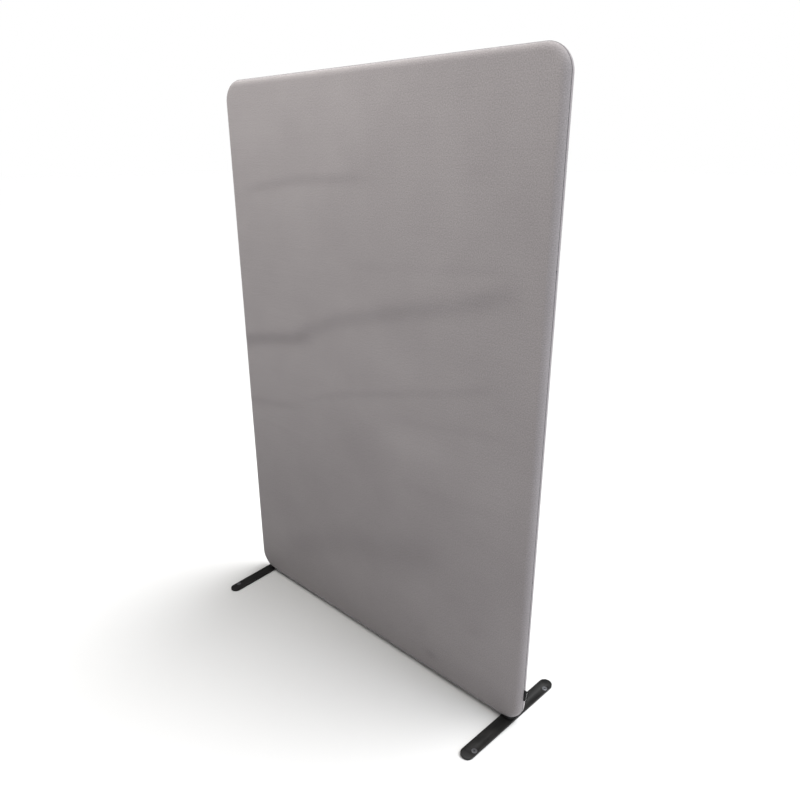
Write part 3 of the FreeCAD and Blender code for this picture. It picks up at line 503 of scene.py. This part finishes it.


# Warp-knitted polyester: matt, with a slight halo of fibre ends at a glancing
# angle, wales and courses of loops, faint yarn bars across the width, and painted
# shade along its folds and in the patches that darken or pale it.
LOOP_WIDE, LOOP_TALL = 0.0016, 0.0013      # real loops are 0.8 x 0.65 mm; twice that shows
BAR_TALL = 0.0035                          # yarn bars are one course; drawn 3.5 mm to show
TUFTS = 330.0                              # a metre: real tufts are under 1 mm; drawn 3 mm
MOTTLE = 5.0                               # a metre: broad patches left by handling
knit, tree = start_material("grey_warp_knit_polyester")
cut = add(tree, "ShaderNodeUVMap", uv_map="cut")
across_up = add(tree, "ShaderNodeSeparateXYZ", {"Vector": cut.outputs["UV"]})
wale = add(tree, "ShaderNodeMath", {0: across_up.outputs["X"], 1: 1 / LOOP_WIDE},
           operation="MULTIPLY")
in_wale = add(tree, "ShaderNodeMath", {0: wale.outputs["Value"], 1: 1.0}, operation="PINGPONG")
course = add(tree, "ShaderNodeMath", {0: across_up.outputs["Y"], 1: 1 / LOOP_TALL,
                                      2: in_wale.outputs["Value"]}, operation="MULTIPLY_ADD")
loop_turn = add(tree, "ShaderNodeMath", {0: course.outputs["Value"], 1: 2 * math.pi},
                operation="MULTIPLY")
loops = add(tree, "ShaderNodeMath", {0: loop_turn.outputs["Value"]}, operation="SINE")
knit_relief = add(tree, "ShaderNodeBump", {"Height": loops.outputs["Value"], "Strength": 0.35,
                                           "Distance": 0.00012})
bar_map = add(tree, "ShaderNodeMapping", {"Vector": cut.outputs["UV"],
                                          "Scale": (1.2, 1 / BAR_TALL, 1)})
bars = add(tree, "ShaderNodeTexNoise", {"Vector": bar_map.outputs["Vector"], "Scale": 1.0,
                                        "Detail": 2.0})
mottle = add(tree, "ShaderNodeTexNoise", {"Vector": cut.outputs["UV"], "Scale": MOTTLE,
                                          "Detail": 5.0, "Roughness": 0.6})
fuzz = add(tree, "ShaderNodeTexNoise", {"Vector": cut.outputs["UV"], "Scale": TUFTS,
                                        "Detail": 2.0})
# painted shade along the folds and in the patches darkens the grey
painted_shade_and_patches = add(tree, "ShaderNodeAttribute", attribute_name="painted_shade_and_patches")
uneven = add(tree, "ShaderNodeMath", {0: bars.outputs["Fac"], 1: 0.20,
                                      2: painted_shade_and_patches.outputs["Fac"]}, operation="MULTIPLY_ADD")
mottled = add(tree, "ShaderNodeMath", {0: mottle.outputs["Fac"], 1: 0.50,
                                       2: uneven.outputs["Value"]}, operation="MULTIPLY_ADD")
fuzzy = add(tree, "ShaderNodeMath", {0: fuzz.outputs["Fac"], 1: 2.00,
                                     2: mottled.outputs["Value"]}, operation="MULTIPLY_ADD")
dark_share = add(tree, "ShaderNodeMapRange", {"Value": fuzzy.outputs["Value"],
                                              "From Min": 0.9, "From Max": 2.3})
shade_of_grey = add(tree, "ShaderNodeMix",
                    {0: dark_share.outputs["Result"], 6: linear("#A09B9C"),
                     7: linear("#787375")}, data_type="RGBA")
cloth_shader = add(tree, "ShaderNodeBsdfPrincipled",
                   {"Base Color": shade_of_grey.outputs[2], "Roughness": 0.88,
                    "Specular IOR Level": 0.25, "Sheen Weight": 0.5, "Sheen Roughness": 0.3,
                    "Normal": knit_relief.outputs["Normal"]})
add(tree, "ShaderNodeOutputMaterial", {"Surface": cloth_shader.outputs["BSDF"]})


def settle(piece, material, body, slot, *nodes):
    """Gives a piece its material, its body and the CAD nodes that it stands for."""
    piece.data.materials.clear()
    piece.data.materials.append(material)
    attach(piece, body)
    if nodes:
        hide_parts(*nodes)


def at_bolt(place):
    """Whether a place is in the hole that a foot's boss comes through."""
    return place[2] < RAIL_LOW and math.hypot(abs(place[0]) - BOLT_X, place[1]) < BOLT_HOLE


def at_bolt_or_zip(place):
    """Whether a place is in a bolt's hole or in the slot that the zip closes."""
    in_slot = abs(place[0]) < ZIP_END and abs(place[2] - ZIP_Z) < ZIP_SLOT
    return at_bolt(place) or (in_slot and place[1] > 0)


columns = steps(-CORNER_X, CORNER_X, CELL)
rows = steps(CORNER_LOW, CORNER_HIGH, CELL)
front, front_cut = cover_sheet("cover_front_cloth", -1, columns, rows, at_bolt)
settle(front, knit, "frame", "cover", "cover_front")
back_columns = steps(-CORNER_X, CORNER_X, CELL, -ZIP_END, ZIP_END)
back_rows = steps(CORNER_LOW, CORNER_HIGH, CELL, ZIP_Z - ZIP_SLOT, ZIP_Z + ZIP_SLOT)
back, back_cut = cover_sheet("cover_back_cloth", 1, back_columns, back_rows, at_bolt_or_zip)
settle(back, knit, "frame", "cover", "cover_back")


# ---------------------------------------------------------------------------
# Cover seam: the two sheets are overlocked together right round the edge with
# dark polyester thread, and a row of its stitches shows across the join.
def grains_in_a_row():
    """Geometry Nodes that set a small rounded grain at even steps along a line."""
    tree = bpy.data.node_groups.new("grains_in_a_row", "GeometryNodeTree")
    for name, kind in (("Line", "Geometry"), ("Spacing", "Float"), ("Grain", "Vector"),
                       ("Unevenness", "Float"), ("Finish", "Material")):
        tree.interface.new_socket(name, in_out="INPUT", socket_type="NodeSocket" + kind)
    tree.interface.new_socket("Row", in_out="OUTPUT", socket_type="NodeSocketGeometry")
    given = add(tree, "NodeGroupInput").outputs
    line = add(tree, "GeometryNodeMeshToCurve", {"Mesh": given["Line"]})
    spots = add(tree, "GeometryNodeResampleCurve",
                {"Curve": line.outputs["Curve"], "Length": given["Spacing"]}, mode="LENGTH")
    grain = add(tree, "GeometryNodeMeshUVSphere", {"Segments": 6, "Rings": 4, "Radius": 0.5})
    soft = add(tree, "GeometryNodeSetShadeSmooth", {"Geometry": grain.outputs["Mesh"]})
    least = add(tree, "ShaderNodeMath", {0: 1.0, 1: given["Unevenness"]}, operation="SUBTRACT")
    share = add(tree, "FunctionNodeRandomValue", {2: least.outputs["Value"], 3: 1.0, "Seed": 7},
                data_type="FLOAT")
    size = add(tree, "ShaderNodeVectorMath", {0: given["Grain"], "Scale": share.outputs[1]},
               operation="SCALE")
    row = add(tree, "GeometryNodeInstanceOnPoints",
              {"Points": spots.outputs["Curve"], "Instance": soft.outputs["Geometry"],
               "Scale": size.outputs["Vector"]})
    real = add(tree, "GeometryNodeRealizeInstances", {"Geometry": row.outputs["Instances"]})
    painted = add(tree, "GeometryNodeSetMaterial",
                  {"Geometry": real.outputs["Geometry"], "Material": given["Finish"]})
    add(tree, "NodeGroupOutput", {"Row": painted.outputs["Geometry"]})
    return tree


ROW = grains_in_a_row()


def row_of_grains(name, points, edges, finish, spacing, grain, unevenness=0.15):
    """A plain mesh of grains set along the edges between some points."""
    guide = bpy.data.meshes.new(name + "_line")
    guide.from_pydata(points, edges, [])
    piece = bpy.data.objects.new(name, guide)
    scene.collection.objects.link(piece)
    maker = piece.modifiers.new("row", "NODES")
    maker.node_group = ROW
    values = {"Spacing": spacing, "Grain": grain, "Unevenness": unevenness, "Finish": finish}
    for socket in ROW.interface.items_tree:
        if socket.name in values:
            maker[socket.identifier] = values[socket.name]
    shown = piece.evaluated_get(bpy.context.evaluated_depsgraph_get())
    made = bpy.data.meshes.new_from_object(shown)
    piece.modifiers.remove(maker)
    piece.data = made
    made.name = name
    return piece


# Spun polyester sewing thread: matt and slightly hairy, twisted about once a mm.
TWISTS = 1000.0


def thread(name, colour, pale):
    """Sewing thread that varies from its colour to a paler one as it twists."""
    material, tree = start_material(name)
    place = add(tree, "ShaderNodeTexCoord")
    twist = add(tree, "ShaderNodeTexNoise", {"Vector": place.outputs["Object"],
                                             "Scale": TWISTS, "Detail": 3.0})
    tint = add(tree, "ShaderNodeMix", {0: twist.outputs["Fac"], 6: linear(colour),
                                       7: linear(pale)}, data_type="RGBA")
    shader = add(tree, "ShaderNodeBsdfPrincipled",
                 {"Base Color": tint.outputs[2], "Roughness": 0.8, "Sheen Weight": 0.2})
    add(tree, "ShaderNodeOutputMaterial", {"Surface": shader.outputs["BSDF"]})
    return material


seam_thread = thread("dark_grey_spun_polyester_thread", "#201F22", "#38363A")
SEAM_REACH = math.sqrt(HALF_DEPTH ** 2 - SEAM_Y ** 2)
SEAM_PART, SEAM_TURN = 0.004, 5       # straight parts of a line round the seam, in m and degrees
STITCH_PROUD, KNOT_PROUD = 0.0001, 0.0002
STITCH_PITCH = 0.0020
SEAM_STITCH = (0.0008, 0.0027, 0.0008)


def seam_line(reach, y):
    """Points round the wall at `reach` outside the middle line of the tube, in short steps."""
    points = []
    corners = ((CORNER_X, CORNER_LOW, -90), (CORNER_X, CORNER_HIGH, 0),
               (-CORNER_X, CORNER_HIGH, 90), (-CORNER_X, CORNER_LOW, 180))
    for x, z, turn in corners:
        for step in range(0, 91, SEAM_TURN):
            angle = math.radians(turn + step)
            points.append(Vector((x + math.cos(angle) * (BEND + reach), y,
                                  z + math.sin(angle) * (BEND + reach))))
    long_way = []
    for here, after in zip(points, points[1:] + points[:1]):
        count = max(1, round((after - here).length / SEAM_PART))
        long_way += [here.lerp(after, step / count) for step in range(count)]
    return long_way


ring = seam_line(SEAM_REACH + STITCH_PROUD, SEAM_Y)
ring_edges = [(index, (index + 1) % len(ring)) for index in range(len(ring))
              if not at_bolt(ring[index])]
stitches = row_of_grains("cover_seam_stitches", ring, ring_edges, seam_thread, STITCH_PITCH,
                         SEAM_STITCH, 0.35)
settle(stitches, seam_thread, "frame", "cover")

# Two knots of it show on the right-hand edge, where the needle was re-threaded.
KNOT, KNOT_PITCH = 0.004, 0.002
KNOT_GRAIN = (0.0018, 0.0045, 0.0035)
KNOT_HEIGHTS = (0.50, 1.327)
knot_x = POST_X + SEAM_REACH + KNOT_PROUD
knots = [(knot_x, SEAM_Y, z + rise) for z in KNOT_HEIGHTS for rise in (0, KNOT)]
knot_grains = row_of_grains("cover_seam_knots", knots, [(0, 1), (2, 3)], seam_thread,
                            KNOT_PITCH, KNOT_GRAIN, 0.4)
settle(knot_grains, seam_thread, "frame", "cover")

# The overlock's chain of looper thread lies along the bottom of the join. Its dark line is
# partly that thread and partly painted shade for the groove of the join.
CHAIN_THICK, CHAIN_SUNK = 0.0006, 0.00025
chain_line = bpy.data.curves.new("cover_seam_chain_and_shade", "CURVE")
chain_line.dimensions = "3D"
chain_line.bevel_depth = CHAIN_THICK
chain_line.bevel_resolution = 0
looper = chain_line.splines.new("POLY")
chain_points = seam_line(SEAM_REACH - CHAIN_SUNK, SEAM_Y)
looper.points.add(len(chain_points) - 1)
looper.points.foreach_set("co", [value for point in chain_points for value in (*point, 1)])
looper.use_cyclic_u = True
chain_guide = bpy.data.objects.new("cover_seam_chain_line", chain_line)
scene.collection.objects.link(chain_guide)
chain_mesh = bpy.data.meshes.new_from_object(
    chain_guide.evaluated_get(bpy.context.evaluated_depsgraph_get()))
bpy.data.objects.remove(chain_guide)
seam_chain_and_painted_shade = bpy.data.objects.new("cover_seam_chain_and_shade", chain_mesh)
scene.collection.objects.link(seam_chain_and_painted_shade)
settle(seam_chain_and_painted_shade, seam_thread, "frame", "cover")


# ---------------------------------------------------------------------------
# Zip: a nylon coil zip closes the back low down. Its woven tapes are sewn behind
# the slot in the cloth, and the coils are sewn along the tapes' inner edges.
# Narrow-woven polyester tape, a herringbone of 0.5 mm ribs.
TAPE_RIBS = 320.0           # the wave's scale that makes a rib 0.5 mm wide
tape_weave, tree = start_material("woven_polyester_zip_tape")
place = add(tree, "ShaderNodeTexCoord")
ribs = add(tree, "ShaderNodeTexWave", {"Vector": place.outputs["Object"], "Scale": TAPE_RIBS,
                                       "Distortion": 1.5, "Detail": 2.0}, bands_direction="X")
tint = add(tree, "ShaderNodeMix", {0: ribs.outputs["Fac"], 6: linear("#5E5C62"),
                                   7: linear("#77747B")}, data_type="RGBA")
relief = add(tree, "ShaderNodeBump", {"Height": ribs.outputs["Fac"], "Strength": 0.5,
                                      "Distance": 0.0001})
shader = add(tree, "ShaderNodeBsdfPrincipled",
             {"Base Color": tint.outputs[2], "Roughness": 0.75,
              "Normal": relief.outputs["Normal"]})
add(tree, "ShaderNodeOutputMaterial", {"Surface": shader.outputs["BSDF"]})
give(["zip_tape_upper", "zip_tape_lower"], tape_weave)

# Nylon monofilament coil: dyed grey, half gloss.
coil = worked_surface("dyed_nylon_coil", "#5B595F", "#4B494F", 0.0, 0.36, 0.8, depth=0.01)
COIL_PITCH = 0.0013
COIL_WIRE = 0.0009
COIL_TALL, COIL_APART = 0.0042, 0.00045     # each half's tooth, and its middle off the join
COIL_END = 0.001
for half, side in (("upper", 1), ("lower", -1)):
    chain_low, chain_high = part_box(f"zip_chain_{half}")
    middle_y = (chain_low.y + chain_high.y) / 2
    middle_z = ZIP_Z + side * COIL_APART
    shift = COIL_PITCH / 2 if side > 0 else 0
    line = [(chain_low.x + COIL_END + shift, middle_y, middle_z),
            (chain_high.x - COIL_END, middle_y, middle_z)]
    teeth = row_of_grains(f"zip_coil_{half}", line, [(0, 1)], coil, COIL_PITCH,
                          (COIL_WIRE, chain_high.y - chain_low.y, COIL_TALL), 0.0)
    settle(teeth, coil, "frame", "zip_chain", f"zip_chain_{half}")

# Lockstitch round the slot holds the turned edge of the cloth to the tapes.
EDGE_STITCH = 0.0022        # from the slot's edge to the stitches
LOCK_PITCH = 0.0028
LOCK_STITCH = (0.0022, 0.0006, 0.0005)
slot_x, slot_z = ZIP_END + EDGE_STITCH, ZIP_SLOT + EDGE_STITCH
cloth_y = HALF_DEPTH + STITCH_PROUD
line = [(x, cloth_y, ZIP_Z + z) for x, z in ((-slot_x, -slot_z), (slot_x, -slot_z),
                                             (slot_x, slot_z), (-slot_x, slot_z))]
lockstitch = row_of_grains("zip_lockstitch", line, [(0, 1), (2, 3)], seam_thread, LOCK_PITCH,
                           LOCK_STITCH, 0.1)
settle(lockstitch, seam_thread, "frame", "cover")

# Facets flatter than the first angle are merged; corners past the second are broken.
FLAT_ENOUGH, SHARP = math.radians(1.5), math.radians(35)


def eased(node, material, edge, body, slot):
    """A copy of a CAD node with its sharp corners broken, which then stands for it."""
    mesh = frame["nodes"][node].data.copy()
    shape = bmesh.new()
    shape.from_mesh(mesh)
    bmesh.ops.remove_doubles(shape, verts=shape.verts, dist=1e-6)
    bmesh.ops.dissolve_limit(shape, angle_limit=FLAT_ENOUGH, verts=shape.verts,
                             edges=shape.edges)
    shape.to_mesh(mesh)
    shape.free()
    mesh.shade_smooth()
    piece = bpy.data.objects.new(node + "_finished", mesh)
    scene.collection.objects.link(piece)
    broken = piece.modifiers.new("broken_corners", "BEVEL")
    broken.width = edge
    broken.segments = 2
    broken.limit_method = "ANGLE"
    broken.angle_limit = SHARP
    broken.harden_normals = True
    settle(piece, material, body, slot, node)


# Slider, pull and stops: die-cast zinc alloy, black nickel plated and tumbled.
zip_metal = worked_surface("black_nickel_zinc_casting", "#6E6D6F", "#7C7B7D", 1.0, 0.30, 0.3,
                           depth=0.01)
SLIDER_EDGE, PULL_EDGE, STOP_EDGE = 0.00035, 0.0003, 0.0002
eased("zip_slider", zip_metal, SLIDER_EDGE, "slider", "zip_metal")
eased("zip_pull", zip_metal, PULL_EDGE, "pull", "zip_metal")
eased("zip_stops", zip_metal, STOP_EDGE, "frame", "zip_metal")


# ---------------------------------------------------------------------------
# Side label: a folded loop of black satin ribbon caught in the seam, low on the
# right-hand edge and narrower at its foot, with a short row of pale stitches.
# Woven satin: long floats along the ribbon give it a sheen across the fold. Its
# yarns lie a third of a mm apart.
YARNS = 3000.0
satin, tree = start_material("black_woven_satin_ribbon")
place = add(tree, "ShaderNodeTexCoord")
floats = add(tree, "ShaderNodeMapping", {"Vector": place.outputs["Object"],
                                         "Scale": (1, 1, 0.2)})
weft = add(tree, "ShaderNodeTexNoise", {"Vector": floats.outputs["Vector"], "Scale": YARNS,
                                        "Detail": 1.0})
tint = add(tree, "ShaderNodeMix", {0: weft.outputs["Fac"], 6: linear("#070708"),
                                   7: linear("#111113")}, data_type="RGBA")
relief = add(tree, "ShaderNodeBump", {"Height": weft.outputs["Fac"], "Strength": 0.4,
                                      "Distance": 0.00005})
shader = add(tree, "ShaderNodeBsdfPrincipled",
             {"Base Color": tint.outputs[2], "Roughness": 0.6, "Specular IOR Level": 0.3,
              "Normal": relief.outputs["Normal"]})
add(tree, "ShaderNodeOutputMaterial", {"Surface": shader.outputs["BSDF"]})

label_low, label_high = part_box("side_label")
RIBBON = 0.00022
FOLD_RADIUS = 0.00024
LABEL_CURL = 0.0007         # how far its fold waves to and fro
LABEL_FOOT = 0.62           # how much of its reach is left at its foot
OUT_CELL, UP_CELL = 0.002, 0.0025
label_y = (label_low.y + label_high.y) / 2
label_reach, label_tall = label_high.x - label_low.x, label_high.z - label_low.z


def on_label(out, height, aside):
    """A place on the label: out and height are shares of it, aside is off its middle."""
    slant = LABEL_FOOT + (1 - LABEL_FOOT) * height
    wave = LABEL_CURL * out ** 2 * math.sin(height * 4.2 + 0.6)
    return (label_low.x + label_reach * out * slant, label_y + aside + wave,
            label_low.z + label_tall * height)


fold_x = label_high.x - FOLD_RADIUS - RIBBON
outline = [(x, -FOLD_RADIUS) for x in steps(label_low.x, fold_x, OUT_CELL)]
outline += [(fold_x + FOLD_RADIUS * math.sin(math.radians(turn)),
             -FOLD_RADIUS * math.cos(math.radians(turn))) for turn in range(30, 180, 30)]
outline += [(x, FOLD_RADIUS) for x in reversed(steps(label_low.x, fold_x, OUT_CELL))]
levels = steps(label_low.z, label_high.z, UP_CELL)
points = [on_label((x - label_low.x) / label_reach, (z - label_low.z) / label_tall, aside)
          for x, aside in outline for z in levels]
tall = len(levels)
ribbon_mesh = bpy.data.meshes.new("side_label_ribbon")
ribbon_mesh.from_pydata(points, [], [
    (i * tall + j, (i + 1) * tall + j, (i + 1) * tall + j + 1, i * tall + j + 1)
    for i in range(len(outline) - 1) for j in range(tall - 1)])
ribbon_mesh.shade_smooth()
ribbon = bpy.data.objects.new("side_label_ribbon", ribbon_mesh)
scene.collection.objects.link(ribbon)
ribbon_thickness = ribbon.modifiers.new("ribbon_thickness", "SOLIDIFY")
ribbon_thickness.thickness = RIBBON
ribbon_thickness.offset = 1
settle(ribbon, satin, "frame", "label", "side_label")

pale_thread = thread("pale_spun_polyester_thread", "#C9C9CA", "#E0E0DF")
STITCH_OUT = 0.72           # the row's place, from the seam to the fold
ROW_FOOT, ROW_TALL, ROW_PARTS = 0.12, 0.76, 8
ROW_PITCH = 0.0050
ROW_STITCH = (0.0024, 0.0006, 0.0035)
row_points = [on_label(STITCH_OUT, ROW_FOOT + ROW_TALL * part / ROW_PARTS, -FOLD_RADIUS - RIBBON)
              for part in range(ROW_PARTS + 1)]
row_edges = [(part, part + 1) for part in range(ROW_PARTS)]
label_stitches = row_of_grains("side_label_stitches", row_points, row_edges, pale_thread,
                               ROW_PITCH, ROW_STITCH, 0.2)
settle(label_stitches, pale_thread, "frame", "label")


# ---------------------------------------------------------------------------
# Feet: one flat bar of 6 mm steel each, round-ended, powder coated satin black.
# A saddle keeps the cloth off the bar, and a bolt from below holds both.
# Powder coat: fine orange peel, greyer where shoes have dusted and scuffed it.
PEEL, DUST = 450.0, 28.0    # a metre: dimples of 2 mm, and dust in patches of 36 mm
powder, tree = start_material("satin_black_powder_coat")
place = add(tree, "ShaderNodeTexCoord")
peel = add(tree, "ShaderNodeTexNoise", {"Vector": place.outputs["Object"], "Scale": PEEL,
                                        "Detail": 2.0})
dust = add(tree, "ShaderNodeTexNoise", {"Vector": place.outputs["Object"], "Scale": DUST,
                                        "Detail": 6.0, "Roughness": 0.65})
scuffed = add(tree, "ShaderNodeMapRange", {"Value": dust.outputs["Fac"], "From Min": 0.42,
                                           "From Max": 0.75})
tint = add(tree, "ShaderNodeMix", {0: scuffed.outputs["Result"], 6: linear("#101010"),
                                   7: linear("#242322")}, data_type="RGBA")
gloss = add(tree, "ShaderNodeMapRange", {"Value": scuffed.outputs["Result"],
                                         "To Min": 0.50, "To Max": 0.66})
relief = add(tree, "ShaderNodeBump", {"Height": peel.outputs["Fac"], "Strength": 0.3,
                                      "Distance": 0.0001})
shader = add(tree, "ShaderNodeBsdfPrincipled",
             {"Base Color": tint.outputs[2], "Roughness": gloss.outputs["Result"],
              "Specular IOR Level": 0.35, "Normal": relief.outputs["Normal"]})
add(tree, "ShaderNodeOutputMaterial", {"Surface": shader.outputs["BSDF"]})

# Screws and bolts: steel, zinc plated and black passivated, so only half bright.
black_zinc = worked_surface("black_passivated_zinc_plated_steel", "#85868A", "#626366", 1.0,
                            0.42, 0.7, depth=0.015)

# Nitrile rubber pads come dull from the mould; the nylon saddles have a fine
# spark-eroded texture that keeps them half matt.
rubber = worked_surface("moulded_nitrile_rubber", "#1A1A1A", "#262524", 0.0, 0.75, 0.6, depth=0.05)
# The saddles' black is partly their own colour and partly painted shade for the shadow under the
# wall where it meets the feet.
black_nylon_and_contact_shade = worked_surface("moulded_black_nylon_as_contact_shade", "#19191A", "#242425", 0.0, 0.48, 0.5, depth=0.03)
PLATE_EDGE, SCREW_EDGE, SADDLE_EDGE = 0.0009, 0.0004, 0.0006
for side in SIDES:
    body = f"foot_{side}"
    eased(f"foot_plate_{side}", powder, PLATE_EDGE, body, "foot")
    eased(f"glide_screws_{side}", black_zinc, SCREW_EDGE, body, "screw")
    eased(f"foot_bolt_{side}", black_zinc, SCREW_EDGE, "frame", "screw")
    give([f"foot_pads_{side}"], rubber)
    eased(f"saddle_{side}", black_nylon_and_contact_shade, SADDLE_EDGE, "frame", "saddle")
